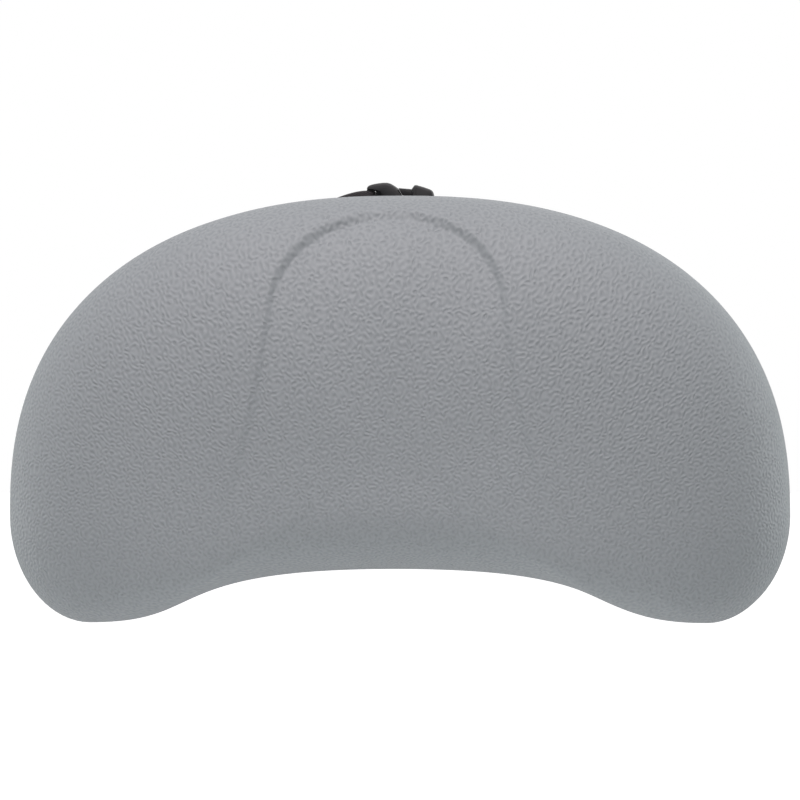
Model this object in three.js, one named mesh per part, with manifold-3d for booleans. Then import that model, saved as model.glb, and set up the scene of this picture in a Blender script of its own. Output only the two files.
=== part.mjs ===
// Bath pillow: a moulded foam headrest that suction cups hold to the wall of a bath,
// with a buckled webbing belt behind its top edge.
// Millimetres, +Z up, front towards -Y. The wall is the plane y = 0, and the origin lies on it
// midway between the four cups.

import * as THREE from 'three';
import { mergeVertices } from 'three/addons/utils/BufferGeometryUtils.js';
import Module from 'manifold-3d';

// Clearance between pieces that touch, and how far a cut runs past the face that it opens
const seatGap = 0.3;
const overrun = 1;

// Foam outline seen from the front; heights are measured from the bottom of the lobes
const foamWidth = 400;
const foamHeight = 218;
const widestHeight = 54;
const lobeSpacing = 318;
const neckHeight = 27.7;
const neckRun = 125;
const lobeRun = 63;
const shoulderPower = 2.38;
const lobePower = 1.96;

// Foam section: flat back, straight side band, crowned front
const bandDepth = 25;
const backEdgeRadius = 6;
const crownDepth = 60;
const crownHeight = 88;
const crownPowerUp = 2.3;
const crownPowerDown = 4.5;

// Head recess: an arched crease that steps down into the middle of the front
const archDrop = 7.3;
const archTop = foamHeight - archDrop;
const archRise = 52;
const archShoulderHeight = archTop - archRise;
const archHalfWidth = 60.7;
const archPower = 2.2;
const archLegSlope = 0.16;
const archLegCurl = 6.7e-6;
const creaseWidth = 5;
const creaseDepthTop = 0.8;
const creaseDepthShoulder = 3.2;
const creaseDepthLeg = 1.4;
const creaseLegRise = 0.65;
const creaseShoulderRise = 0.95;
const creaseTopLean = 0.03;
const creaseShoulderLean = 0.21;
const recessDepth = 4;
const creaseReach = 0.93;
const creaseFade = 0.1;
const archReach = 0.97;
const archOpensBelow = 0;
const archClosesAbove = 0.3;
const flattestFall = 1e-6;

// Suction cups and the sockets that hold their stems
const upperCupSpacing = 140;
const upperCupDrop = 68;
const upperCupHeight = foamHeight - upperCupDrop;
const lowerCupSpacing = 230;
const lowerCupHeight = 80;
const cupHeight = 22;
const cupRadius = 23;
const cupRimWidth = 2.5;
const cupRimThickness = 1.2;
const cupCollarRadius = 8;
const cupCollarHeight = 8;
const cupWall = 3.5;
const cupShoulder = 4;
const cupStemRadius = 4.5;
const cupHeadRadius = 6.5;
const cupHeadLength = 4.5;
const cupSocketRadius = 11;
const cupSocketFootRadius = 14;
const cupSocketFootThickness = 3;
const cupSocketDepth = 16;
const cupSocketLip = 6;
const cupSocketFloor = 2.5;

// Webbing belt
const webbingWidth = 8;
const webbingThickness = 1.2;
const beltStandoff = 14;
const sewnLength = 11;
const beltLead = 11;
const webbingStep = 4;
const eyeSteps = 8;
const eyeTaper = 3;

// Belt anchors on the back
const anchorSpacing = 144;
const anchorDrop = 22;
const anchorHeight = foamHeight - anchorDrop;
const anchorTilt = THREE.MathUtils.degToRad(21);
const anchorPlateLength = 26;
const anchorPlateThickness = 3;
const anchorPlateLead = 6;
const anchorCorner = 4;
const earThickness = 2.4;
const earRadius = 4.5;
const earFoot = 12;
const pinRadius = 2;
const pinHeadRadius = 3.2;
const pinHeadThickness = 1.4;
const screwSpacing = 7;
const screwSetback = 14;
const screwRadius = 1.5;
const screwHeadRadius = 3;
const screwHeadThickness = 1.8;
const screwLength = 11;
const insertMargin = 1;
const insertDepth = 13;
const insertFootThickness = 3;
const insertFootReach = 3;

// Side-release buckle; lengths run along the belt from its middle
const buckleOffset = -3;
const buckleDrop = 3.65;
const buckleHeight = foamHeight - buckleDrop;
const buckleTilt = THREE.MathUtils.degToRad(4.8);
const socketThickness = 8;
const socketBevel = 1.2;
const socketEnd = -16.4;
const socketMouth = 9;
const buckleHalfWidth = 9;
const shoulderHalfWidth = 7.2;
const socketCrest = -6.4;
const rimCrest = 8.1;
const waistHalfWidth = 6.7;
const strapSlotHalf = 4.3;
const strapSlotEnd = -11.7;
const slotRecessEnd = -6.8;
const slotRecessHalf = 5.3;
const slotRecessFloor = 1.8;
const barRadius = 1.4;
const barInset = 1.5;
const cavityEnd = -1;
const cavityHalf = 5.8;
const cavityHeight = 4.8;
const windowStart = -0.95;
const windowEnd = 6.65;
const windowReach = 8;
const windowSlant = 0.72;
const windowFloor = 2.6;
const plugThickness = 7.2;
const plugBevel = 1;
const plugEnd = 18.5;
const plugCorner = 1.5;
const plugSideHalfWidth = 8.1;
const plugEndHalfWidth = 6.8;
const plugSlotStart = 13.2;
const plugSlotEnd = 16;
const plugRimThickness = 2;
const plugHood = 0.8;
const prongPivot = 11;
const prongLine = 4.4;
const prongHalf = 1.1;
const prongThickness = 4.2;
const prongButton = 6.8;
const prongSwing = 0.8;
const prongEndGap = 0.8;
const latchGap = 0.5;

// Faceting
const shoulderSteps = 12;
const lobeSteps = 6;
const neckSteps = 7;
const bellSteps = 5;
const roundSegments = 24;
const smallSegments = 16;
const cornerSegments = 3;
const buckleSideSteps = 12;
const halvings = 24;
const weldDistance = 1e-4;

const wasm = await Module();
wasm.setup();

const bathPillow = new THREE.Group();

const materials = {
  foam: { color: 0x989ba0, roughness: 0.62, metalness: 0 },
  socket: { color: 0x55585c, roughness: 0.5, metalness: 0 },
  cup: { color: 0x6a6e73, roughness: 0.3, metalness: 0 },
  webbing: { color: 0x1d1c1c, roughness: 0.9, metalness: 0 },
  buckle: { color: 0x232325, roughness: 0.42, metalness: 0 },
  steel: { color: 0xb8bcc0, roughness: 0.3, metalness: 1 },
};

function addPiece(parent, name, geometry, finish) {
  const piece = new THREE.Mesh(geometry, new THREE.MeshStandardMaterial(materials[finish]));
  piece.name = name;
  parent.add(piece);
  return piece;
}

// Closed geometry to a solid that can be joined and cut, and back again

function toSolid(geometry) {
  const bare = geometry.clone();
  bare.deleteAttribute('normal');
  bare.deleteAttribute('uv');
  const merged = mergeVertices(bare, weldDistance);
  const mesh = new wasm.Mesh({
    numProp: 3,
    vertProperties: Float32Array.from(merged.attributes.position.array),
    triVerts: Uint32Array.from(merged.index.array),
  });
  return new wasm.Manifold(mesh);
}

function toGeometry(solid) {
  const mesh = solid.getMesh();
  const geometry = new THREE.BufferGeometry();
  geometry.setAttribute('position', new THREE.BufferAttribute(mesh.vertProperties, 3));
  geometry.setIndex(new THREE.BufferAttribute(mesh.triVerts, 1));
  geometry.computeVertexNormals();
  return geometry;
}

// Shapes drawn in the belt's plane (x, z) and raised along y, from `low` to `high`

function raised(shape, low, high, bevel = 0) {
  const geometry = new THREE.ExtrudeGeometry(shape, {
    depth: high - low - 2 * bevel,
    bevelEnabled: bevel > 0,
    bevelThickness: bevel,
    bevelSize: bevel,
    bevelOffset: -bevel,
    bevelSegments: 2,
    curveSegments: cornerSegments,
  });
  geometry.rotateX(Math.PI / 2);
  geometry.translate(0, high - bevel, 0);
  return geometry;
}

// Shapes drawn in section (x, y) and drawn out along z, centred on `middle`

function drawnOut(shape, width, middle = 0) {
  const geometry = new THREE.ExtrudeGeometry(shape, {
    depth: width,
    bevelEnabled: false,
    curveSegments: smallSegments / 2,
  });
  geometry.translate(0, 0, middle - width / 2);
  return geometry;
}

function roundedRectangle(left, right, half, corner) {
  const shape = new THREE.Shape();
  shape.absarc(right - corner, half - corner, corner, 0, Math.PI / 2);
  shape.absarc(left + corner, half - corner, corner, Math.PI / 2, Math.PI);
  shape.absarc(left + corner, corner - half, corner, Math.PI, Math.PI * 1.5);
  shape.absarc(right - corner, corner - half, corner, Math.PI * 1.5, Math.PI * 2);
  shape.closePath();
  return shape;
}

function polygon(points) {
  return new THREE.Shape(points.map(([x, y]) => new THREE.Vector2(x, y)));
}

function rectangle(left, right, bottom, top) {
  return polygon([[left, bottom], [right, bottom], [right, top], [left, top]]);
}

function revolved(profile, segments) {
  return new THREE.LatheGeometry(profile.map(([r, y]) => new THREE.Vector2(r, y)), segments);
}

// A round bar across the belt, along z
function crossBar(radius, length, x) {
  const geometry = new THREE.CylinderGeometry(radius, radius, length, smallSegments);
  geometry.rotateX(Math.PI / 2);
  geometry.translate(x, 0, 0);
  return geometry;
}

// Foam body

function superellipse(angle, across, up, power) {
  return [across * Math.sin(angle) ** (2 / power), up * Math.cos(angle) ** (2 / power)];
}

// Right half from the top centre, over the shoulder, round the lobe and along the neck arch
function halfOutline() {
  const points = [];
  const half = foamWidth / 2;
  const lobeX = lobeSpacing / 2;
  for (let i = 0; i < shoulderSteps; i += 1) {
    const angle = (i / shoulderSteps) * (Math.PI / 2);
    const [x, z] = superellipse(angle, half, foamHeight - widestHeight, shoulderPower);
    points.push(new THREE.Vector2(x, widestHeight + z));
  }
  for (let i = 0; i < lobeSteps; i += 1) {
    const angle = (i / lobeSteps) * (Math.PI / 2);
    const [z, x] = superellipse(angle, widestHeight, half - lobeX, lobePower);
    points.push(new THREE.Vector2(lobeX + x, widestHeight - z));
  }
  const neck = new THREE.CubicBezierCurve(
    new THREE.Vector2(lobeX, 0),
    new THREE.Vector2(lobeX - lobeRun, 0),
    new THREE.Vector2(neckRun, neckHeight),
    new THREE.Vector2(0, neckHeight),
  );
  points.push(...neck.getPoints(neckSteps));
  return points;
}

function foamOutline() {
  const right = halfOutline();
  const left = right.slice(1, -1).reverse().map((p) => new THREE.Vector2(-p.x, p.y));
  return [...right, ...left];
}

// The head recess is wide open below and closes in an arch near the top
function insideArch(x, z) {
  if (z > archShoulderHeight) {
    const rise = (z - archShoulderHeight) / (archTop - archShoulderHeight);
    return rise < 1 && Math.abs(x) < archHalfWidth * (1 - rise ** archPower) ** (1 / archPower);
  }
  const drop = archShoulderHeight - z;
  return Math.abs(x) < archHalfWidth + archLegSlope * drop + archLegCurl * drop ** 3;
}

// Share of the way from the crown's middle to the rim at which a ray crosses the crease
function creaseShare(rim) {
  let low = 0;
  let high = 1;
  for (let i = 0; i < halvings; i += 1) {
    const middle = (low + high) / 2;
    const inside = insideArch(rim.x * middle, crownHeight + (rim.y - crownHeight) * middle);
    if (inside) low = middle;
    else high = middle;
  }
  return low;
}

// One ray from the crown's middle to the rim: the foam's front along it
function frontRay(rim) {
  const reach = Math.hypot(rim.x, rim.y - crownHeight);
  const rise = (rim.y - crownHeight) / reach;
  const power = THREE.MathUtils.lerp(crownPowerDown, crownPowerUp, (rise + 1) / 2);
  const steepness = (share) => {
    const fall = (power * share ** (power - 1)) / 2;
    return (crownDepth * fall) / Math.sqrt(Math.max(flattestFall, 1 - share ** power)) / reach;
  };
  // The crease is closed above and runs out at the rim below
  const closed = THREE.MathUtils.smoothstep(rise, archOpensBelow, archClosesAbove);
  const crease = Math.min(creaseShare(rim), THREE.MathUtils.lerp(creaseReach, archReach, closed));
  const band = creaseWidth / 2 / reach / Math.hypot(1, steepness(crease));
  const faded = 1 - THREE.MathUtils.smoothstep(crease, creaseReach - creaseFade, creaseReach);
  // It is deepest at the arch's shoulders and shallow in the middle of its top and down the legs
  const upward = THREE.MathUtils.smoothstep(rise, creaseLegRise, creaseShoulderRise);
  const aside = THREE.MathUtils.smoothstep(Math.abs(rim.x) / reach, creaseTopLean, creaseShoulderLean);
  const arched = THREE.MathUtils.lerp(creaseDepthTop, creaseDepthShoulder, aside);
  const depth = THREE.MathUtils.lerp(creaseDepthLeg, arched, upward);
  const step = depth * THREE.MathUtils.lerp(faded, 1, closed);
  const point = (share) => {
    const swell = crownDepth * Math.sqrt(Math.max(0, 1 - share ** power));
    const floor = THREE.MathUtils.lerp(recessDepth, step, THREE.MathUtils.smoothstep(share, 0, crease));
    const sunk = floor * (1 - THREE.MathUtils.smoothstep(share, crease - band, crease + band));
    // The recess is sunk square to the crown's surface
    const slope = steepness(share);
    const deep = sunk / Math.hypot(1, slope);
    const inward = share - (deep * slope) / reach;
    return [rim.x * inward, deep - bandDepth - swell, crownHeight + (rim.y - crownHeight) * inward];
  };
  return { reach, crease, band, point };
}

const innerShares = [0.3, 0.55, 0.8];
const outerShares = [0.22, 0.46, 0.68, 0.86, 0.97, 1];
const edgeTurns = [0, 0.5, 1];

function foamRings(outline) {
  return outline.map((rim) => {
    const ray = frontRay(rim);
    const column = innerShares.map((k) => ray.point(k * (ray.crease - ray.band)));
    column.push(ray.point(ray.crease - ray.band), ray.point(ray.crease), ray.point(ray.crease + ray.band));
    const start = ray.crease + ray.band;
    column.push(...outerShares.map((k) => ray.point(start + (1 - start) * k)));
    for (const turn of edgeTurns) {
      const angle = turn * (Math.PI / 2);
      const share = 1 - (backEdgeRadius * (1 - Math.cos(angle))) / ray.reach;
      column.push([
        rim.x * share,
        -backEdgeRadius * (1 - Math.sin(angle)),
        crownHeight + (rim.y - crownHeight) * share,
      ]);
    }
    return column;
  });
}

function foamBody() {
  const columns = foamRings(foamOutline());
  const count = columns.length;
  const rings = columns[0].length;
  const positions = [0, recessDepth - bandDepth - crownDepth, crownHeight, 0, 0, crownHeight];
  columns.forEach((column) => column.forEach((point) => positions.push(...point)));
  const at = (i, ring) => 2 + (i % count) * rings + ring;
  const faces = [];
  for (let i = 0; i < count; i += 1) {
    faces.push(0, at(i + 1, 0), at(i, 0));
    for (let ring = 0; ring < rings - 1; ring += 1) {
      faces.push(at(i, ring), at(i + 1, ring), at(i + 1, ring + 1));
      faces.push(at(i, ring), at(i + 1, ring + 1), at(i, ring + 1));
    }
    faces.push(1, at(i, rings - 1), at(i + 1, rings - 1));
  }
  const geometry = new THREE.BufferGeometry();
  geometry.setAttribute('position', new THREE.Float32BufferAttribute(positions, 3));
  geometry.setIndex(faces);
  return toSolid(geometry);
}

// Suction cups and their sockets, turned about y with the foam's back at y = 0

const cupSpots = [
  ['upper_left', -upperCupSpacing / 2, upperCupHeight],
  ['upper_right', upperCupSpacing / 2, upperCupHeight],
  ['lower_left', -lowerCupSpacing / 2, lowerCupHeight],
  ['lower_right', lowerCupSpacing / 2, lowerCupHeight],
];

// Outer form of a cup socket below its face, grown by a clearance for the pocket that it fills
function cupSocketForm(grow) {
  const step = cupSocketFootThickness - cupSocketDepth + grow;
  return [
    [0, -cupSocketDepth - grow],
    [cupSocketFootRadius + grow, -cupSocketDepth - grow],
    [cupSocketFootRadius + grow, step],
    [cupSocketRadius + grow, step],
  ];
}

function cupSocket() {
  const throat = cupStemRadius + seatGap;
  const chamber = cupHeadRadius + seatGap;
  const floor = cupSocketFloor - cupSocketDepth;
  return revolved([
    ...cupSocketForm(0),
    [cupSocketRadius, 0],
    [throat, 0],
    [throat, -cupSocketLip],
    [chamber, -cupSocketLip],
    [chamber, floor],
    [0, floor],
  ], smallSegments);
}

function cupSocketPocket() {
  return revolved([
    ...cupSocketForm(seatGap),
    [cupSocketRadius + seatGap, seatGap],
    [0, seatGap],
  ], smallSegments);
}

// A stem with a mushroom head, a collar and a bell that opens to the wall
function suctionCup() {
  const shoulder = -cupSocketLip - seatGap;
  const headEnd = shoulder - cupHeadLength;
  const outside = new THREE.QuadraticBezierCurve(
    new THREE.Vector2(cupCollarRadius, cupCollarHeight),
    new THREE.Vector2(cupRadius - cupShoulder, cupCollarHeight),
    new THREE.Vector2(cupRadius, cupHeight - cupRimThickness),
  );
  const inside = new THREE.QuadraticBezierCurve(
    new THREE.Vector2(cupRadius - cupRimWidth, cupHeight),
    new THREE.Vector2(cupRadius - cupShoulder - cupRimWidth, cupCollarHeight + cupWall),
    new THREE.Vector2(0, cupCollarHeight + cupWall),
  );
  const bell = [...outside.getPoints(bellSteps), new THREE.Vector2(cupRadius, cupHeight)];
  bell.push(...inside.getPoints(bellSteps));
  return revolved([
    [0, headEnd],
    [cupStemRadius, headEnd],
    [cupHeadRadius, shoulder - cupHeadLength / 2],
    [cupHeadRadius, shoulder],
    [cupStemRadius, shoulder],
    [cupStemRadius, seatGap],
    [cupCollarRadius, seatGap],
    ...bell.map((p) => [p.x, p.y]),
  ], roundSegments);
}

// Belt anchors. In an anchor's own frame +x points along the belt to the buckle, y stands off the
// back and the pin lies along z at x = 0.

const plateBack = anchorPlateLead - anchorPlateLength;
const earInside = webbingWidth / 2 + 2 * seatGap;
const plateHalf = earInside + earThickness;
const plateTop = seatGap + anchorPlateThickness;
const screwSides = [['outer', -1], ['inner', 1]];

// The block that the foam is moulded round: a body under the plate and a wider foot below it
function insertForm(grow) {
  const left = plateBack + insertMargin - grow;
  const right = anchorPlateLead - insertMargin + grow;
  const half = plateHalf - insertMargin + grow;
  const body = roundedRectangle(left, right, half, anchorCorner - insertMargin);
  const foot = roundedRectangle(
    left - insertFootReach,
    right + insertFootReach,
    half + insertFootReach,
    anchorCorner,
  );
  const top = toSolid(raised(body, -insertDepth - grow, grow));
  return top.add(toSolid(raised(foot, -insertDepth - grow, insertFootThickness - insertDepth + grow)));
}

function screwHole(radius, low, high, side) {
  const hole = new THREE.CylinderGeometry(radius, radius, high - low, smallSegments);
  hole.translate(-screwSetback, (low + high) / 2, (side * screwSpacing) / 2);
  return toSolid(hole);
}

function anchorInsert() {
  let insert = insertForm(0);
  for (const [, side] of screwSides) {
    const bottom = plateTop - screwLength - seatGap;
    insert = insert.subtract(screwHole(screwRadius + seatGap, bottom, overrun, side));
  }
  return toGeometry(insert);
}

function earShape() {
  const tilt = Math.asin((earFoot / 2 - earRadius) / beltStandoff);
  const ear = new THREE.Shape();
  ear.moveTo(-earFoot / 2, seatGap);
  ear.lineTo(earFoot / 2, seatGap);
  ear.absarc(0, beltStandoff, earRadius, tilt, Math.PI - tilt);
  ear.closePath();
  const hole = new THREE.Path();
  hole.absarc(0, beltStandoff, pinRadius + seatGap, 0, Math.PI * 2, true);
  ear.holes.push(hole);
  return ear;
}

function strapAnchor() {
  const plate = roundedRectangle(plateBack, anchorPlateLead, plateHalf, anchorCorner);
  let anchor = toSolid(raised(plate, seatGap, plateTop));
  for (const side of [-1, 1]) {
    const ear = drawnOut(earShape(), earThickness, side * (earInside + earThickness / 2));
    anchor = anchor.add(toSolid(ear));
  }
  for (const [, side] of screwSides) {
    anchor = anchor.subtract(screwHole(screwRadius + seatGap, 0, plateTop + overrun, side));
  }
  return toGeometry(anchor);
}

function anchorPin() {
  const end = plateHalf + seatGap;
  const pin = revolved([
    [0, -end],
    [pinRadius, -end],
    [pinRadius, end],
    [pinHeadRadius, end],
    [pinHeadRadius, end + pinHeadThickness / 2],
    [pinRadius, end + pinHeadThickness],
    [0, end + pinHeadThickness],
  ], smallSegments);
  pin.rotateX(Math.PI / 2);
  pin.translate(0, beltStandoff, 0);
  return pin;
}

function anchorScrew(side) {
  const seat = plateTop + seatGap;
  const screw = revolved([
    [0, seat - screwLength],
    [screwRadius / 2, seat - screwLength],
    [screwRadius, seat - screwLength + screwRadius],
    [screwRadius, seat],
    [screwHeadRadius, seat],
    [screwHeadRadius, seat + screwHeadThickness / 2],
    [screwRadius, seat + screwHeadThickness],
    [0, seat + screwHeadThickness],
  ], smallSegments);
  screw.translate(-screwSetback, 0, (side * screwSpacing) / 2);
  return screw;
}

// Buckle. In its own frame x runs along the belt from socket to plug, z across it and y through it.

function mirroredOutline(upper) {
  const lower = upper.slice().reverse().map((p) => new THREE.Vector2(p.x, -p.y));
  return new THREE.Shape([...upper, ...lower]);
}

const barLine = socketEnd + barInset;

function socketOutline() {
  const body = new THREE.SplineCurve([
    new THREE.Vector2(socketEnd, strapSlotHalf + seatGap),
    new THREE.Vector2(barLine, shoulderHalfWidth),
    new THREE.Vector2(socketCrest, buckleHalfWidth),
    new THREE.Vector2(windowStart, waistHalfWidth),
  ]);
  const rim = [
    new THREE.Vector2(windowEnd, waistHalfWidth),
    new THREE.Vector2(rimCrest, buckleHalfWidth),
    new THREE.Vector2(socketMouth + 2 * socketBevel, buckleHalfWidth),
  ];
  return mirroredOutline([...body.getPoints(buckleSideSteps), ...rim]);
}

// How far a side window's walls lean towards the plug, at z from the middle of the buckle
function windowLean(z) {
  return (waistHalfWidth - z) * windowSlant;
}

function windowShape(side) {
  const outside = buckleHalfWidth + overrun;
  const upright = waistHalfWidth - (windowReach - windowEnd) / windowSlant;
  return polygon([
    [windowStart + windowLean(outside), side * outside],
    [windowStart + windowLean(windowFloor), side * windowFloor],
    [windowReach, side * windowFloor],
    [windowReach, side * upright],
    [windowEnd + windowLean(outside), side * outside],
  ]);
}

// Round-ended hollow in each face that gives the folded webbing room
function slotRecess() {
  const shape = new THREE.Shape();
  const reach = slotRecessEnd - strapSlotEnd;
  shape.absellipse(strapSlotEnd, 0, reach, slotRecessHalf, -Math.PI / 2, Math.PI / 2);
  shape.lineTo(socketEnd, slotRecessHalf);
  shape.lineTo(socketEnd, -slotRecessHalf);
  shape.closePath();
  return shape;
}

function through(shape, thickness) {
  return toSolid(raised(shape, -thickness / 2, thickness / 2));
}

function buckleSocket() {
  const half = socketThickness / 2;
  const past = socketThickness + 2 * overrun;
  const beyond = socketMouth + 2 * socketBevel + overrun;
  const outside = buckleHalfWidth + overrun;
  const cavity = rectangle(cavityEnd, beyond, -cavityHalf, cavityHalf);
  const slot = rectangle(socketEnd - overrun, strapSlotEnd, -strapSlotHalf, strapSlotHalf);
  let socket = toSolid(raised(socketOutline(), -half, half, socketBevel));
  socket = socket.subtract(through(rectangle(socketMouth, beyond, -outside, outside), past));
  for (const side of [-1, 1]) socket = socket.subtract(through(windowShape(side), past));
  socket = socket.subtract(through(cavity, cavityHeight));
  socket = socket.subtract(through(slot, past));
  socket = socket.subtract(toSolid(raised(slotRecess(), slotRecessFloor / 2, past)));
  socket = socket.subtract(toSolid(raised(slotRecess(), -past, -slotRecessFloor / 2)));
  return toGeometry(socket.add(toSolid(crossBar(barRadius, 2 * (strapSlotHalf + seatGap), barLine))));
}

function plugOutline() {
  const side = new THREE.SplineCurve([
    new THREE.Vector2(socketMouth + seatGap, buckleHalfWidth),
    new THREE.Vector2(plugSlotStart, plugSideHalfWidth),
    new THREE.Vector2(plugEnd - plugCorner, plugEndHalfWidth),
    new THREE.Vector2(plugEnd, plugEndHalfWidth - 2 * plugCorner),
  ]);
  const lead = new THREE.Vector2(socketMouth - 2 * plugBevel, buckleHalfWidth);
  return mirroredOutline([lead, ...side.getPoints(buckleSideSteps)]);
}

// The pocket in the plug that a prong's root turns in
function prongPocket(side) {
  const start = socketMouth - overrun;
  const inner = prongLine - prongHalf - prongSwing;
  const outer = prongLine + prongHalf + seatGap;
  const low = Math.min(side * inner, side * outer);
  const high = Math.max(side * inner, side * outer);
  const knuckle = new THREE.Shape();
  knuckle.absarc(prongPivot, side * prongLine, prongHalf + seatGap, 0, Math.PI * 2);
  const mouth = through(rectangle(start, prongPivot, low, high), cavityHeight);
  return mouth.add(through(knuckle, cavityHeight));
}

// The webbing folds round a bar at the plug's end, under a hood that covers it in front
function bucklePlug() {
  const half = plugThickness / 2;
  const past = plugThickness + 2 * overrun;
  const slot = rectangle(plugSlotStart, plugSlotEnd, -strapSlotHalf, strapSlotHalf);
  const overRim = rectangle(plugSlotStart, plugEnd + overrun, -strapSlotHalf, strapSlotHalf);
  const start = socketMouth + seatGap;
  const before = start - 2 * plugBevel - overrun;
  const outside = buckleHalfWidth + overrun;
  let plug = toSolid(raised(plugOutline(), -half, half, plugBevel));
  plug = plug.subtract(through(rectangle(before, start, -outside, outside), past));
  plug = plug.subtract(toSolid(raised(slot, plugHood - half, past)));
  plug = plug.subtract(toSolid(raised(overRim, plugRimThickness / 2, past)));
  plug = plug.subtract(toSolid(raised(overRim, plugHood - half, -plugRimThickness / 2)));
  for (const side of [-1, 1]) plug = plug.subtract(prongPocket(side));
  return toGeometry(plug);
}

function buckleProng(side) {
  const inner = prongLine - prongHalf;
  const outer = prongLine + prongHalf;
  const end = (z) => windowStart + windowLean(z) + prongEndGap;
  const latch = (z) => windowEnd + windowLean(z) - latchGap;
  const shape = new THREE.Shape();
  shape.moveTo(prongPivot, inner);
  shape.lineTo(end(inner), inner);
  shape.lineTo(end(prongButton), prongButton);
  shape.lineTo(latch(prongButton), prongButton);
  shape.lineTo(latch(outer), outer);
  shape.lineTo(prongPivot, outer);
  shape.absarc(prongPivot, prongLine, prongHalf, Math.PI / 2, -Math.PI / 2, true);
  const points = shape.getPoints(smallSegments / 2).map((p) => new THREE.Vector2(p.x, side * p.y));
  return raised(new THREE.Shape(points), -prongThickness / 2, prongThickness / 2);
}

// Webbing. Each half is one ribbon: its ends fold round a bar and lie back along it, sewn down.

// Point and direction on the buckle's centre line, in the foam's frame seen from the front
function onBuckle(along) {
  return new THREE.Vector2(
    buckleOffset + along * Math.cos(buckleTilt),
    buckleHeight - along * Math.sin(buckleTilt),
  );
}

function beltRun(side) {
  const along = side < 0 ? barLine : (plugSlotEnd + plugEnd) / 2;
  const start = onBuckle(along);
  const leave = onBuckle(along + side * beltLead);
  const pin = new THREE.Vector2((side * anchorSpacing) / 2, anchorHeight);
  const reach = start.distanceTo(pin) / 2;
  const arrive = new THREE.Vector2(
    pin.x - side * reach * Math.cos(anchorTilt),
    pin.y + reach * Math.sin(anchorTilt),
  );
  return new THREE.CubicBezierCurve(start, leave, arrive, pin);
}

// What a ribbon folds round: half its thickness, and how far its loop reaches in front and behind
function roundBar(radius) {
  return { rise: radius, front: 0, back: 0 };
}

function flatBar(width, thickness) {
  const rise = thickness / 2;
  const edge = width / 2 + seatGap;
  return { rise, front: edge, back: edge - Math.sqrt((rise + seatGap) ** 2 - rise ** 2) };
}

// Half-loop round a bar at x, from above the bar to below it
function eye(x, facing, bar) {
  const radius = bar.rise + seatGap + webbingThickness / 2;
  const points = [];
  for (let i = 0; i <= eyeSteps; i += 1) {
    const angle = (Math.PI * i) / eyeSteps;
    const ahead = bar.back + radius * Math.sin(angle);
    points.push(new THREE.Vector2(x + facing * ahead, radius * Math.cos(angle)));
  }
  if (bar.front > 0) {
    points.unshift(new THREE.Vector2(x - facing * bar.front, radius));
    points.push(new THREE.Vector2(x - facing * bar.front, -radius));
  }
  return points;
}

// Distance from a bar to where the two layers of the ribbon meet
function eyeFoot(bar) {
  return bar.front + eyeTaper * (bar.rise + seatGap + webbingThickness / 2);
}

// Centre line of a ribbon in section: along the belt and through its thickness
function ribbonLine(length, bar, pin) {
  const lay = webbingThickness + seatGap;
  const start = eyeFoot(bar);
  const end = length - eyeFoot(pin);
  const corners = [
    new THREE.Vector2(start + sewnLength, lay),
    new THREE.Vector2(start, lay),
    ...eye(0, -1, bar),
    new THREE.Vector2(start, 0),
    new THREE.Vector2(end, 0),
    ...eye(length, 1, pin).reverse(),
    new THREE.Vector2(end, lay),
    new THREE.Vector2(end - sewnLength, lay),
  ];
  const line = [corners[0]];
  for (let i = 1; i < corners.length; i += 1) {
    const steps = Math.ceil(corners[i].distanceTo(corners[i - 1]) / webbingStep);
    for (let k = 1; k <= steps; k += 1) line.push(corners[i - 1].clone().lerp(corners[i], k / steps));
  }
  return line;
}

function ribbonSection(line) {
  const half = webbingThickness / 2;
  const edge = (sign) => line.map((point, i) => {
    const before = line[Math.max(0, i - 1)];
    const after = line[Math.min(line.length - 1, i + 1)];
    const along = after.clone().sub(before).normalize();
    return new THREE.Vector2(point.x - sign * half * along.y, point.y + sign * half * along.x);
  });
  return new THREE.Shape([...edge(1), ...edge(-1).reverse()]);
}

// Lays a straight ribbon along a run seen from the front
function layAlong(geometry, run) {
  const length = run.getLength();
  const position = geometry.attributes.position;
  for (let i = 0; i < position.count; i += 1) {
    const along = position.getX(i);
    const share = THREE.MathUtils.clamp(along / length, 0, 1);
    const point = run.getPointAt(share);
    const tangent = run.getTangentAt(share);
    const spare = along - share * length;
    const across = position.getZ(i);
    position.setXYZ(
      i,
      point.x + tangent.x * spare - tangent.y * across,
      position.getY(i) + beltStandoff,
      point.y + tangent.y * spare + tangent.x * across,
    );
  }
  return geometry;
}

function strapHalf(side) {
  const run = beltRun(side);
  const bar = side < 0 ? roundBar(barRadius) : flatBar(plugEnd - plugSlotEnd, plugRimThickness);
  const line = ribbonLine(run.getLength(), bar, roundBar(pinRadius));
  return layAlong(drawnOut(ribbonSection(line), webbingWidth), run);
}

// Assembly: the foam's back lies a cup's height in front of the wall

const assembly = new THREE.Group();
assembly.position.set(0, -cupHeight, -(upperCupHeight + lowerCupHeight) / 2);
bathPillow.add(assembly);

const anchors = [['left', -1], ['right', 1]].map(([name, side]) => {
  const anchor = new THREE.Group();
  anchor.position.set((side * anchorSpacing) / 2, 0, anchorHeight);
  anchor.rotation.y = side < 0 ? -anchorTilt : Math.PI + anchorTilt;
  anchor.updateMatrix();
  return { name, anchor };
});

let foam = foamBody();
for (const [, x, z] of cupSpots) {
  const pocket = cupSocketPocket();
  pocket.translate(x, 0, z);
  foam = foam.subtract(toSolid(pocket));
}
for (const { anchor } of anchors) {
  const pocket = toGeometry(insertForm(seatGap)).applyMatrix4(anchor.matrix);
  foam = foam.subtract(toSolid(pocket));
}
addPiece(assembly, 'pillow_foam', toGeometry(foam), 'foam');

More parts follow.
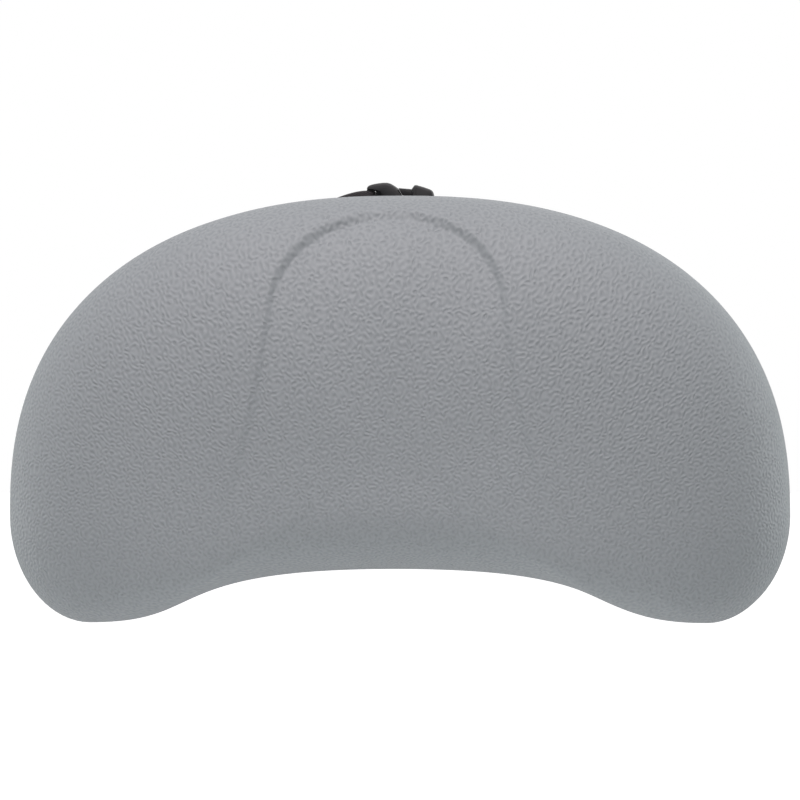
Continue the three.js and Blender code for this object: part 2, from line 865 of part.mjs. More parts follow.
for (const [name, x, z] of cupSpots) {
  addPiece(assembly, `cup_socket_${name}`, cupSocket(), 'socket').position.set(x, 0, z);
  addPiece(assembly, `suction_cup_${name}`, suctionCup(), 'cup').position.set(x, 0, z);
}

for (const { name, anchor } of anchors) {
  addPiece(anchor, `anchor_insert_${name}`, anchorInsert(), 'socket');
  addPiece(anchor, `strap_anchor_${name}`, strapAnchor(), 'buckle');
  addPiece(anchor, `anchor_pin_${name}`, anchorPin(), 'steel');
  for (const [place, side] of screwSides) {
    addPiece(anchor, `anchor_screw_${name}_${place}`, anchorScrew(side), 'steel');
  }
  assembly.add(anchor);
}

addPiece(assembly, 'strap_left', strapHalf(-1), 'webbing');
addPiece(assembly, 'strap_right', strapHalf(1), 'webbing');

const buckle = new THREE.Group();
buckle.position.set(buckleOffset, beltStandoff, buckleHeight);
buckle.rotation.y = buckleTilt;
assembly.add(buckle);
addPiece(buckle, 'buckle_socket', buckleSocket(), 'buckle');
addPiece(buckle, 'buckle_plug', bucklePlug(), 'buckle');
addPiece(buckle, 'buckle_prong_upper', buckleProng(1), 'buckle');
addPiece(buckle, 'buckle_prong_lower', buckleProng(-1), 'buckle');

export default bathPillow;
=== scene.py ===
import bisect
import math

import bmesh
import bpy
from mathutils import Matrix, Vector


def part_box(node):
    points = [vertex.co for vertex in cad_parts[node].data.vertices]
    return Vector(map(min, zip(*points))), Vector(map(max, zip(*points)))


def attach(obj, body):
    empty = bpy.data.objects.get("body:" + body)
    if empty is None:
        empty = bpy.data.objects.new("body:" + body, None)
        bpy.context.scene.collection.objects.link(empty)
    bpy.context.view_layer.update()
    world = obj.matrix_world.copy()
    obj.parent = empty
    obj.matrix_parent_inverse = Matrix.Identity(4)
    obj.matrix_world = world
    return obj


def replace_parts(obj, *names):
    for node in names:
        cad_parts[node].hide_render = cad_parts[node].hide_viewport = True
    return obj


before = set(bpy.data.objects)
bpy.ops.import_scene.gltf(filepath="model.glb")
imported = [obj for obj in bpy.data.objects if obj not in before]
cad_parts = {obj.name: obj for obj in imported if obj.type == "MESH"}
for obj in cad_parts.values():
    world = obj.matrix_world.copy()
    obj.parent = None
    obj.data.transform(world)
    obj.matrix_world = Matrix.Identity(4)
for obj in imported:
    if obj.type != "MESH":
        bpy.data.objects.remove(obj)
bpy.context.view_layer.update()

mm = 0.001  # the dictionaries below are in millimetres and degrees

foamLow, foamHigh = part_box("pillow_foam")
backPlane = foamHigh.y / mm  # the foam's flat back
lobeFloor = foamLow.z / mm  # heights count from the bottom of the lobes


def place(x, y, z):  # from the foam's own measure (off the back, up from the lobes) to the frame
    return Vector((x, y + backPlane, z + lobeFloor)) * mm


def linear(hexColour):  # sRGB hex to the linear values that sockets take
    channels = [int(hexColour[i:i + 2], 16) / 255 for i in (1, 3, 5)]
    return [c / 12.92 if c <= 0.04045 else ((c + 0.055) / 1.055) ** 2.4 for c in channels] + [1.0]


def addNode(tree, kind, settings=None, links=None):
    node = tree.nodes.new(kind)
    for name, value in (settings or {}).items():
        if isinstance(name, int) or name in node.inputs:
            node.inputs[name].default_value = value
        else:
            setattr(node, name, value)
    for name, source in (links or {}).items():
        tree.links.new(source, node.inputs[name])
    return node


def startMaterial(name, settings):
    material = bpy.data.materials.new(name)
    material.use_nodes = True
    tree = material.node_tree
    shader = tree.nodes["Principled BSDF"]
    for socket, value in settings.items():
        shader.inputs[socket].default_value = value
    return material, tree, shader


def smoothstep(value, low, high):
    share = min(1, max(0, (value - low) / (high - low)))
    return share * share * (3 - 2 * share)


def mix(low, high, share):
    return low + (high - low) * share


def makePiece(name, points, faces, material, body, sharp=40):
    mesh = bpy.data.meshes.new(name)
    mesh.from_pydata([tuple(p) for p in points], [], faces)
    return finishPiece(name, mesh, material, body, sharp)


def finishPiece(name, mesh, material, body, sharp=40):
    cleaned = bmesh.new()
    cleaned.from_mesh(mesh)
    bmesh.ops.recalc_face_normals(cleaned, faces=cleaned.faces)
    cleaned.to_mesh(mesh)
    cleaned.free()
    mesh.shade_smooth()
    mesh.set_sharp_from_angle(angle=math.radians(sharp))
    mesh.materials.clear()
    mesh.materials.append(material)
    piece = bpy.data.objects.new(name, mesh)
    bpy.context.scene.collection.objects.link(piece)
    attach(piece, body)
    return piece


def lathe(profile, segments, spot):  # (radius, y) pairs turned about the y of a spot on the foam's back
    points = []
    rows = []
    for radius, y in profile:
        turns = 1 if radius == 0 else segments
        rows.append([len(points) + k for k in range(turns)])
        for k in range(turns):
            angle = 2 * math.pi * k / segments
            points.append(place(*(spot @ Vector((radius * math.cos(angle), y, radius * math.sin(angle))))))
    faces = []
    for low, high in zip(rows, rows[1:]):
        for k in range(segments):
            ring = [low[k % len(low)], low[(k + 1) % len(low)]]
            ring += [high[(k + 1) % len(high)], high[k % len(high)]]
            faces.append(list(dict.fromkeys(ring)))
    return points, faces


def roundedCorners(profile, radius, steps=4):  # eases the corners of a (radius, y) profile
    eased = [profile[0]]
    for before, corner, after in zip(profile, profile[1:], profile[2:]):
        here = Vector(corner)
        toBefore, toAfter = Vector(before) - here, Vector(after) - here
        ease = min(radius, toBefore.length / 2.2, toAfter.length / 2.2)
        first, last = here + toBefore.normalized() * ease, here + toAfter.normalized() * ease
        for k in range(steps + 1):
            share = k / steps
            point = first * (1 - share) ** 2 + here * 2 * share * (1 - share) + last * share ** 2
            eased.append(tuple(point))
    return eased + [profile[-1]]


# Camera: the photograph's long lens, a little to the right and above
cameraView = {
    "azimuth": 6,
    "elevation": 3,
    "roll": -0.35,
    "distance": 6000,
    "fieldWidth": 409.8,  # what the picture spans at the aim
    "aim": (0.8, -40, -1.3),
    "sensor": 36,
}


def makeCamera(v):
    turn, rise = math.radians(v["azimuth"]), math.radians(v["elevation"])
    back = Vector((math.sin(turn) * math.cos(rise), -math.cos(turn) * math.cos(rise), math.sin(rise)))
    data = bpy.data.cameras.new("camera")
    data.sensor_width = v["sensor"]
    data.lens = v["sensor"] * v["distance"] / v["fieldWidth"]
    data.clip_end = 100
    camera = bpy.data.objects.new("camera", data)
    facing = back.to_track_quat("Z", "Y").to_matrix().to_4x4()
    facing = facing @ Matrix.Rotation(math.radians(v["roll"]), 4, "Z")
    camera.matrix_world = Matrix.Translation((Vector(v["aim"]) + back * v["distance"]) * mm) @ facing
    bpy.context.scene.collection.objects.link(camera)
    bpy.context.scene.camera = camera


makeCamera(cameraView)
print("camera set")


# Integral-skin PU foam, moulded in a grained tool: a matt grey skin covered in fine worm-like
# ridges, with painted shade darkening the furrows, and faintly cloudy over a hand's width
foamSkin = {
    "ridge": "#8f9699",
    # painted shade: the furrows' colour is darker than the ridges' to stand in for the shade in the hollows
    "furrowShade": "#888f92",
    "cloud": "#878e91",
    "ridgeSpacing": 2.46,  # from one ridge to the next
    "ridgeSpread": 0.22,  # share by which the ripples' spacings differ
    "ridgeHeight": 0.43,
    "ripples": 12,  # crossing ripples that add up to the ridges
    "stretch": 0.8,  # the grain is drawn out towards the top, where the tool is deepest
    "stretchHeights": (87, 200),
    "wanderSize": 7,
    "wander": 1.6,  # how far the ridges stray
    "poreSpacing": 0.9,
    "poreDepth": 0.03,
    "furrowShadeHeights": (0.12, 0.7),  # heights over which the painted shade of the furrows fades into the ridge colour
    "dull": (0.66, 0.52),  # roughness in the furrows and on the ridges
    "cloudSize": 70,
    "cloudRange": (0.35, 0.75),
    "cloudShare": 0.35,
}


def makeFoamSkin(s):
    material, tree, shader = startMaterial("integral_skin_pu_foam", {
        "Roughness": 0.6, "IOR": 1.5, "Specular IOR Level": 0.35,
    })
    spot = addNode(tree, "ShaderNodeTexCoord").outputs["Object"]
    skin = addNode(tree, "ShaderNodeUVMap", {"uv_map": "skin"}).outputs["UV"]
    stray = addNode(tree, "ShaderNodeTexNoise", {"Scale": 1 / s["wanderSize"], "Detail": 0.0}, {
        "Vector": skin,
    })
    strayed = addNode(tree, "ShaderNodeVectorMath", {"operation": "MULTIPLY_ADD", 1: [2 * s["wander"]] * 3}, {
        0: stray.outputs["Color"], 2: skin,
    }).outputs["Vector"]
    height = addNode(tree, "ShaderNodeSeparateXYZ", {}, {"Vector": spot}).outputs["Z"]
    low, high = (place(0, 0, z).z for z in s["stretchHeights"])
    drawn = addNode(tree, "ShaderNodeMapRange", {
        "From Min": low, "From Max": high, "To Min": 1.0, "To Max": s["stretch"],
    }, {"Value": height}).outputs["Result"]
    strayed = addNode(tree, "ShaderNodeVectorMath", {"operation": "SCALE"}, {
        0: strayed, "Scale": drawn,
    }).outputs["Vector"]
    ridges = None
    for k in range(s["ripples"]):  # each has a heading, a spacing and a start of its own
        turn = math.pi * (k + 0.5) / s["ripples"]
        heading = Vector((math.cos(turn), math.sin(turn), 0))
        spacing = s["ridgeSpacing"] * (1 + s["ridgeSpread"] * math.sin(2.4 * k))
        along = addNode(tree, "ShaderNodeVectorMath", {
            "operation": "DOT_PRODUCT", 1: heading * 2 * math.pi / spacing,
        }, {0: strayed})
        late = addNode(tree, "ShaderNodeMath", {"operation": "ADD", 1: float(k * k)}, {
            0: along.outputs["Value"],
        })
        ripple = addNode(tree, "ShaderNodeMath", {"operation": "SINE"}, {0: late.outputs[0]}).outputs[0]
        if ridges:
            ripple = addNode(tree, "ShaderNodeMath", {"operation": "ADD"}, {0: ridges, 1: ripple}).outputs[0]
        ridges = ripple
    pores = addNode(tree, "ShaderNodeTexNoise", {
        "Scale": 1 / (s["poreSpacing"] * mm), "Detail": 2.0,
    }, {"Vector": spot}).outputs["Fac"]
    clouds = addNode(tree, "ShaderNodeTexNoise", {
        "Scale": 1 / (s["cloudSize"] * mm), "Detail": 3.0, "Roughness": 0.6,
    }, {"Vector": spot}).outputs["Fac"]
    swing = math.sqrt(2 * s["ripples"])
    rounded = addNode(tree, "ShaderNodeMapRange", {"From Min": -swing, "From Max": swing}, {
        "Value": ridges,
    }).outputs["Result"]
    # mask of the painted shade: low parts of the grain take the darker furrow colour
    furrowShadeMask = addNode(tree, "ShaderNodeMapRange", {
        "interpolation_type": "SMOOTHSTEP", "From Min": s["furrowShadeHeights"][0], "From Max": s["furrowShadeHeights"][1],
    }, {"Value": rounded}).outputs["Result"]
    shade = addNode(tree, "ShaderNodeMix", {
        "data_type": "RGBA", 6: linear(s["furrowShade"]), 7: linear(s["ridge"]),
    }, {0: furrowShadeMask})
    cloudLow, cloudHigh = s["cloudRange"]
    cloudy = addNode(tree, "ShaderNodeMapRange", {
        "From Min": cloudLow, "From Max": cloudHigh, "To Min": 0.0, "To Max": s["cloudShare"],
    }, {"Value": clouds}).outputs["Result"]
    colour = addNode(tree, "ShaderNodeMix", {"data_type": "RGBA", 7: linear(s["cloud"])}, {
        0: cloudy, 6: shade.outputs[2],
    })
    tree.links.new(colour.outputs[2], shader.inputs["Base Color"])
    polish = addNode(tree, "ShaderNodeMapRange", {"To Min": s["dull"][0], "To Max": s["dull"][1]}, {
        "Value": rounded,
    })
    tree.links.new(polish.outputs["Result"], shader.inputs["Roughness"])
    grain = addNode(tree, "ShaderNodeBump", {"Strength": 1.0, "Distance": s["ridgeHeight"] * mm}, {
        "Height": rounded,
    })
    fine = addNode(tree, "ShaderNodeBump", {"Strength": 1.0, "Distance": s["poreDepth"] * mm}, {
        "Height": pores, "Normal": grain.outputs["Normal"],
    })
    tree.links.new(fine.outputs["Normal"], shader.inputs["Normal"])
    return material


# Pillow: outline of two lobes, shoulders and a neck arch, crowned from its middle to the rim,
# with the head recess bounded by a soft arched crease, a little wider and deeper than the solid's
pillowShape = {
    "width": 400, "height": 218, "widestHeight": 54, "lobeSpacing": 318, "neckHeight": 27.7,
    "neckRun": 125, "lobeRun": 63, "shoulderPower": 2.38, "lobePower": 1.96,
    "bandDepth": 25, "backEdge": 6, "crownDepth": 60, "crownHeight": 88,
    "crownPowerUp": 2.3, "crownPowerDown": 4.5,
    "archDrop": 7.3, "archRise": 52, "archHalfWidth": 60.7, "archPower": 2.2,
    "archLegSlope": 0.16, "archLegCurl": 6.7e-6,
    "creaseWidth": 6, "creaseDepthTop": 2.3, "creaseDepthShoulder": 3.5, "creaseDepthLeg": 2.0,
    "creaseRise": (0.74, 0.96), "creaseLean": (0.03, 0.21),
    "creaseRunsOut": (-0.7, 0.2), "creaseReach": 0.93, "creaseBlend": 0.5, "creaseCloses": (0, 0.3),
    "recessDepth": 4, "archReach": 0.97, "archSearch": 2,
    "outlineSteps": 200, "insideRings": 36, "creaseRings": 10, "outerRings": 18, "bandRings": 5,
    "edgeRings": 6, "halvings": 24, "skinSteps": 24,
    "pocketRadius": 11.3, "pocketDepth": 6, "pocketLip": 1.6, "lipSteps": 6, "pocketSegments": 64,
}


def halfOutline(p):  # right half from the top, over the shoulder, round the lobe, along the neck arch
    steps, half, lobe, widest = p["outlineSteps"], p["width"] / 2, p["lobeSpacing"] / 2, p["widestHeight"]
    points = []
    for k in range(steps):
        angle = math.pi / 2 * k / steps
        power = 2 / p["shoulderPower"]
        points.append((half * math.sin(angle) ** power,
                       widest + (p["height"] - widest) * math.cos(angle) ** power))
    for k in range(steps):
        angle = math.pi / 2 * k / steps
        power = 2 / p["lobePower"]
        points.append((lobe + (half - lobe) * math.cos(angle) ** power,
                       widest - widest * math.sin(angle) ** power))
    for k in range(steps + 1):
        t = k / steps
        near, far = 3 * (1 - t) ** 2 * t, 3 * (1 - t) * t * t  # pulls of the curve's two handles
        x = lobe * (1 - t) ** 3 + near * (lobe - p["lobeRun"]) + far * p["neckRun"]
        points.append((x, p["neckHeight"] * (far + t ** 3)))
    return points


class Walk:  # a polyline that is asked for points by the distance along it
    def __init__(self, points):
        self.points = [Vector(p) for p in points]
        self.marks = [0.0]
        for a, b in zip(self.points, self.points[1:]):
            self.marks.append(self.marks[-1] + (b - a).length)
        self.length = self.marks[-1]

    def at(self, distance):
        k = min(max(bisect.bisect_right(self.marks, distance) - 1, 0), len(self.points) - 2)
        share = (distance - self.marks[k]) / max(self.marks[k + 1] - self.marks[k], 1e-9)
        return self.points[k].lerp(self.points[k + 1], share)

    def heading(self, distance):
        k = min(max(bisect.bisect_right(self.marks, distance) - 1, 0), len(self.points) - 2)
        return (self.points[k + 1] - self.points[k]).normalized()


def insideArch(p, x, z):
    top = p["height"] - p["archDrop"]
    shoulder = top - p["archRise"]
    if z > shoulder:
        rise = (z - shoulder) / p["archRise"]
        return rise < 1 and abs(x) < p["archHalfWidth"] * (1 - rise ** p["archPower"]) ** (1 / p["archPower"])
    drop = shoulder - z
    return abs(x) < p["archHalfWidth"] + p["archLegSlope"] * drop + p["archLegCurl"] * drop ** 3


class FrontRay:  # the front's section from the middle of the crown to one point of the rim
    def __init__(self, p, rim):
        self.p, self.rim = p, rim
        self.reach = math.hypot(rim.x, rim.y - p["crownHeight"])
        rise = (rim.y - p["crownHeight"]) / self.reach
        self.power = mix(p["crownPowerDown"], p["crownPowerUp"], (rise + 1) / 2)
        low, high = 0, p["archSearch"]
        for _ in range(p["halvings"]):
            middle = (low + high) / 2
            if insideArch(p, rim.x * middle, mix(p["crownHeight"], rim.y, middle)):
                low = middle
            else:
                high = middle
        closed = smoothstep(rise, *p["creaseCloses"])  # the arch is closed above and runs out below
        reach, blend = mix(p["creaseReach"], p["archReach"], closed), p["creaseBlend"]
        near = max(0, blend - abs(low - reach)) / blend
        self.crease = min(low, reach) - near * near * blend / 4 * (1 - closed)  # a soft bend at the rim
        self.band = p["creaseWidth"] / 2 / self.reach / math.hypot(1, self.slope(self.crease))
        arched = mix(p["creaseDepthTop"], p["creaseDepthShoulder"],
                     smoothstep(abs(rim.x) / self.reach, *p["creaseLean"]))  # deepest at the arch's shoulders
        leg = p["creaseDepthLeg"] * smoothstep(rise, *p["creaseRunsOut"])
        self.step = mix(leg, arched, smoothstep(rise, *p["creaseRise"]))

    def slope(self, share):  # how steeply the crown falls away towards the rim
        fall = self.power * share ** (self.power - 1) / 2
        return self.p["crownDepth"] * fall / math.sqrt(max(1e-6, 1 - share ** self.power)) / self.reach

    def point(self, share, y=None):
        p = self.p
        if y is None:
            y = -p["bandDepth"] - p["crownDepth"] * math.sqrt(max(0, 1 - share ** self.power))
            floor = mix(p["recessDepth"], self.step, smoothstep(share, 0, self.crease))
            sunk = floor * (1 - smoothstep(share, self.crease - self.band, self.crease + self.band))
            slope = self.slope(share)
            y += sunk / math.hypot(1, slope)  # sunk square to the surface
            share -= sunk * slope / math.hypot(1, slope) / self.reach
        return place(self.rim.x * share, y, mix(p["crownHeight"], self.rim.y, share))

    def skinAt(self, share, beyond=0):  # the skin's flat map, in millimetres from the middle of the crown
        p, length, before = self.p, beyond, (0, 1)
        for k in range(1, p["skinSteps"] + 1):
            out = share * k / p["skinSteps"]
            here = (out, math.sqrt(max(0, 1 - out ** self.power)))
            length += math.hypot((here[0] - before[0]) * self.reach, (here[1] - before[1]) * p["crownDepth"])
            before = here
        return length * self.rim.x / self.reach, length * (self.rim.y - p["crownHeight"]) / self.reach

    def shareAt(self, ring):  # rings lie close in the crease and evenly round the crown's edge
        across = self.p["creaseRings"]
        end = self.crease + self.band
        if ring <= across:
            return mix(self.crease - self.band, end, ring / across)
        first = math.asin(min(1, end ** (self.power / 2)))
        turn = mix(first, math.pi / 2, (ring - across) / self.p["outerRings"])
        return math.sin(turn) ** (2 / self.power)


def squareRing(i, j):  # which ring of a square grid standing on a corner, and how far round it from the top
    ring = max(abs(i), abs(j))
    if ring == 0:
        return 0, 0
    if j == ring and i >= 0:
        step = i
    elif i == ring:
        step = 2 * ring - j
    elif j == -ring:
        step = 4 * ring - i
    elif i == -ring:
        step = 6 * ring + j
    else:
        step = 8 * ring + i
    return ring, (step / (8 * ring) + 1 / 8) % 1


def turnOf(cell):
    return squareRing(*cell)[1]


def makePillow(p, material):
    right = halfOutline(p)
    rim = Walk(right + [(-x, z) for x, z in reversed(right[:-1])])
    rings = p["insideRings"]
    points, faces, skin = [], [], []
    grid = range(-rings, rings + 1)
    front, back = {}, {}
    for i in grid:
        for j in grid:
            ring, turn = squareRing(i, j)
            ray = FrontRay(p, rim.at(turn * rim.length))
            front[i, j] = len(points)
            share = ray.shareAt(0) * ring / rings
            points.append(ray.point(share))
            skin.append(ray.skinAt(share))
            back[i, j] = len(points)
            share = ring / rings * (1 - p["backEdge"] / ray.reach)
            points.append(ray.point(share, 0))
            skin.append((ray.rim.x * share, (ray.rim.y - p["crownHeight"]) * share))
    for i in grid[:-1]:
        for j in grid[:-1]:
            a, b, c, d = (i, j), (i + 1, j), (i + 1, j + 1), (i, j + 1)
            cells = [[a, b, c, d]]
            if i == j:
                cells = [[a, b, c], [a, c, d]]  # cells on the corner lines are halved along them
            elif i + j == -1:
                cells = [[a, b, d], [b, c, d]]
            for cell in cells:
                faces.append([front[c] for c in cell])
                faces.append([back[c] for c in reversed(cell)])
    border = sorted((c for c in front if max(map(abs, c)) == rings), key=turnOf)
    sides, rolled, firstSide = [], {}, len(faces)
    for c in border:
        ray = FrontRay(p, rim.at(turnOf(c) * rim.length))
        column = [front[c]]
        for k in range(1, p["creaseRings"] + p["outerRings"] + 1):  # across the crease and out to the rim
            column.append(len(points))
            points.append(ray.point(ray.shareAt(k)))
            skin.append(ray.skinAt(ray.shareAt(k)))
        band = p["bandDepth"] - p["backEdge"]
        for k in range(1, p["bandRings"] + 1):  # straight side band
            column.append(len(points))
            points.append(ray.point(1, -p["bandDepth"] + band * k / p["bandRings"]))
            skin.append(ray.skinAt(1, band * k / p["bandRings"]))
        for k in range(1, p["edgeRings"]):  # rounded back edge
            angle = math.pi / 2 * k / p["edgeRings"]
            column.append(len(points))
            share = 1 - p["backEdge"] * (1 - math.cos(angle)) / ray.reach
            points.append(ray.point(share, -p["backEdge"] * (1 - math.sin(angle))))
            skin.append(ray.skinAt(1, band + p["backEdge"] * angle))
        sides.append(column + [back[c]])
        rolled[back[c]] = ray.skinAt(1, band + p["backEdge"] * math.pi / 2)
    for one, two in zip(sides, sides[1:] + sides[:1]):
        faces += [[one[k], one[k + 1], two[k + 1], two[k]] for k in range(len(one) - 1)]
    pillow = makePiece("pillow", points, faces, material, "pillow", 60)
    layer = pillow.data.uv_layers.new(name="skin")  # flat maps of the front with the sides, and of the back
    for face in pillow.data.polygons:
        for corner, vertex in zip(face.loop_indices, face.vertices):
            onSide = face.index >= firstSide and vertex in rolled
            layer.data[corner].uv = rolled[vertex] if onSide else skin[vertex]
    cutPockets(p, pillow)
    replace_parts(pillow, "pillow_foam")
    return pillow


def cutPockets(p, pillow):  # the foam's skin rolls into the pocket of each cup socket
    radius, depth, lip = p["pocketRadius"], p["pocketDepth"], p["pocketLip"]
    profile = [(0, -depth), (radius, -depth), (radius, -lip)]
    for k in range(1, p["lipSteps"] + 1):
        angle = math.pi / 2 * k / p["lipSteps"]
        profile.append((radius + lip * (1 - math.cos(angle)), -lip + lip * math.sin(angle)))
    profile += [(radius + lip, lip), (0, lip)]
    for corner in cupCorners:
        cutAway(pillow, *lathe(profile, p["pocketSegments"], socketSpot(corner)))


def cutAway(piece, points, faces):
    mesh = bpy.data.meshes.new("cutter")
    mesh.from_pydata(points, [], faces)
    cutter = bpy.data.objects.new("cutter", mesh)
    bpy.context.scene.collection.objects.link(cutter)
    cut = piece.modifiers.new("cut", "BOOLEAN")
    cut.operation, cut.solver, cut.object = "DIFFERENCE", "EXACT", cutter
    bpy.context.view_layer.update()
    piece.data = bpy.data.meshes.new_from_object(piece.evaluated_get(bpy.context.evaluated_depsgraph_get()))
    piece.modifiers.clear()
    bpy.data.objects.remove(cutter)


cupCorners = ["upper_left", "upper_right", "lower_left", "lower_right"]


def socketSpot(corner):  # the middle of a cup socket on the foam's back
    low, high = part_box("cup_socket_" + corner)
    return Matrix.Translation(((low.x + high.x) / 2 / mm, 0, (low.z + high.z) / 2 / mm - lobeFloor))


makePillow(pillowShape, makeFoamSkin(foamSkin))
print("pillow made")


# Moulded PP: a dark grey plastic with a dull satin face and faint flow marks
mouldedPlastic = {"colour": "#34373a", "flow": "#3d4043", "flowSize": 9, "grainSize": 0.5, "grainDepth": 0.02}

# Acetal with a fine spark-eroded finish: a soft grey-black that lifts to dark grey where it faces the light
blackAcetal = {"colour": "#2a2b2c", "flow": "#303132", "flowSize": 6, "grainSize": 0.5, "grainDepth": 0.02}


def makePlastic(name, s, settings):  # the real grain is under 0.1 mm and is drawn coarser, so that it shows
    material, tree, shader = startMaterial(name, settings)
    spot = addNode(tree, "ShaderNodeTexCoord").outputs["Object"]
    flow = addNode(tree, "ShaderNodeTexNoise", {
        "Scale": 1 / (s["flowSize"] * mm), "Detail": 2.0, "Distortion": 1.5,
    }, {"Vector": spot}).outputs["Fac"]
    colour = addNode(tree, "ShaderNodeMix", {
        "data_type": "RGBA", 6: linear(s["colour"]), 7: linear(s["flow"]),
    }, {0: flow})
    tree.links.new(colour.outputs[2], shader.inputs["Base Color"])
    grain = addNode(tree, "ShaderNodeTexNoise", {"Scale": 1 / (s["grainSize"] * mm), "Detail": 1.0}, {
        "Vector": spot,
    }).outputs["Fac"]
    rough = settings["Roughness"]
    dull = addNode(tree, "ShaderNodeMapRange", {"To Min": rough - 0.06, "To Max": rough + 0.08}, {
        "Value": grain,
    })
    tree.links.new(dull.outputs["Result"], shader.inputs["Roughness"])
    bump = addNode(tree, "ShaderNodeBump", {"Strength": 1.0, "Distance": s["grainDepth"] * mm}, {
        "Height": grain,
    })
    tree.links.new(bump.outputs["Normal"], shader.inputs["Normal"])
    return material


moulded = makePlastic("moulded_polypropylene", mouldedPlastic, {"Roughness": 0.5, "IOR": 1.49})
acetal = makePlastic("black_acetal", blackAcetal, {
    "Roughness": 0.46, "IOR": 1.48, "Specular IOR Level": 0.25,
})


# Cup sockets: snap-in cups of PP that the foam is moulded round
cupSocket = {"radius": 11, "footRadius": 14, "footThickness": 3, "depth": 16, "lip": 6, "floor": 2.5,
             "throat": 4.8, "chamber": 6.8, "rounding": 0.7, "segments": 72}


def makeCupSocket(c, corner):
    step = c["footThickness"] - c["depth"]
    profile = [(0, -c["depth"]), (c["footRadius"], -c["depth"]), (c["footRadius"], step), (c["radius"], step),
               (c["radius"], 0), (c["throat"], 0), (c["throat"], -c["lip"]), (c["chamber"], -c["lip"]),
               (c["chamber"], c["floor"] - c["depth"]), (0, c["floor"] - c["depth"])]
    points, faces = lathe(roundedCorners(profile, c["rounding"]), c["segments"], socketSpot(corner))
    name = "cup_socket_" + corner
    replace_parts(makePiece("socket_" + corner, points, faces, moulded, "pillow"), name)


# Soft PVC: cloudy, half see-through and a little greasy, darker in random clouds
softPvc = {"colour": "#d9dfe3", "cloud": "#c6ced3", "cloudSize": 12, "greasy": (0.1, 0.22), "waveSize": 5,
           "waveDepth": 0.03}


def makeSoftPvc(s):
    material, tree, shader = startMaterial("soft_pvc", {
        "Roughness": 0.15, "IOR": 1.53, "Transmission Weight": 0.8,
    })
    spot = addNode(tree, "ShaderNodeTexCoord").outputs["Object"]
    cloud = addNode(tree, "ShaderNodeTexNoise", {"Scale": 1 / (s["cloudSize"] * mm), "Detail": 3.0}, {
        "Vector": spot,
    }).outputs["Fac"]
    colour = addNode(tree, "ShaderNodeMix", {
        "data_type": "RGBA", 6: linear(s["colour"]), 7: linear(s["cloud"]),
    }, {0: cloud})
    tree.links.new(colour.outputs[2], shader.inputs["Base Color"])
    greasy = addNode(tree, "ShaderNodeMapRange", {"To Min": s["greasy"][0], "To Max": s["greasy"][1]}, {
        "Value": cloud,
    })
    tree.links.new(greasy.outputs["Result"], shader.inputs["Roughness"])
    waves = addNode(tree, "ShaderNodeTexNoise", {"Scale": 1 / (s["waveSize"] * mm), "Detail": 1.0}, {
        "Vector": spot,
    })
    bump = addNode(tree, "ShaderNodeBump", {"Strength": 1.0, "Distance": s["waveDepth"] * mm}, {
        "Height": waves.outputs["Fac"],
    })
    tree.links.new(bump.outputs["Normal"], shader.inputs["Normal"])
    return material


# Suction cups: a stem with a mushroom head, a collar and a bell that opens to the wall
suctionCup = {"height": 22, "radius": 23, "rimWidth": 2.5, "rimThickness": 1.2, "collarRadius": 8,
              "collarHeight": 8, "wall": 3.5, "shoulder": 4, "stemRadius": 4.5, "headRadius": 6.5,
              "headLength": 4.5, "seat": -6.3, "clear": 0.3, "rounding": 0.8, "segments": 96, "bellSteps": 16}


def bow(first, pull, last, steps):  # a curve from first to last, drawn towards pull
    return [tuple(Vector(first) * (1 - t) ** 2 + Vector(pull) * 2 * t * (1 - t) + Vector(last) * t * t)
            for t in (k / steps for k in range(steps + 1))]


def makeSuctionCup(c, corner, material):
    headEnd = c["seat"] - c["headLength"]
    stem = [(0, headEnd), (c["stemRadius"], headEnd), (c["headRadius"], headEnd + c["headLength"] / 2),
            (c["headRadius"], c["seat"]), (c["stemRadius"], c["seat"]), (c["stemRadius"], c["clear"]),
            (c["collarRadius"], c["clear"]), (c["collarRadius"], c["collarHeight"])]
    outside = bow((c["collarRadius"], c["collarHeight"]), (c["radius"] - c["shoulder"], c["collarHeight"]),
                  (c["radius"], c["height"] - c["rimThickness"]), c["bellSteps"])
    under, mouth = c["collarHeight"] + c["wall"], c["radius"] - c["rimWidth"]
    inside = bow((mouth, c["height"]), (mouth - c["shoulder"], under), (0, under), c["bellSteps"])
    profile = roundedCorners(stem + outside[1:2], c["rounding"])[:-1] + outside[1:-1]
    profile += roundedCorners([outside[-2], outside[-1], (c["radius"], c["height"]), inside[0], inside[1]],
                              c["rimThickness"] / 3)[1:-1] + inside[1:]
    points, faces = lathe(profile, c["segments"], socketSpot(corner))
    cup = makePiece("cup_" + corner, points, faces, material, "cup_" + corner, 50)
    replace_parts(cup, "suction_cup_" + corner)


pvc = makeSoftPvc(softPvc)
for corner in cupCorners:
    makeCupSocket(cupSocket, corner)
    makeSuctionCup(suctionCup, corner, pvc)
print("suction cups made")


# Stainless steel: bright, with the fine drawing lines of wire
drawnSteel = {"colour": "#c3c6c9", "line": "#aeb2b6", "lineSize": 0.4, "drawn": 0.15, "dull": (0.22, 0.4)}


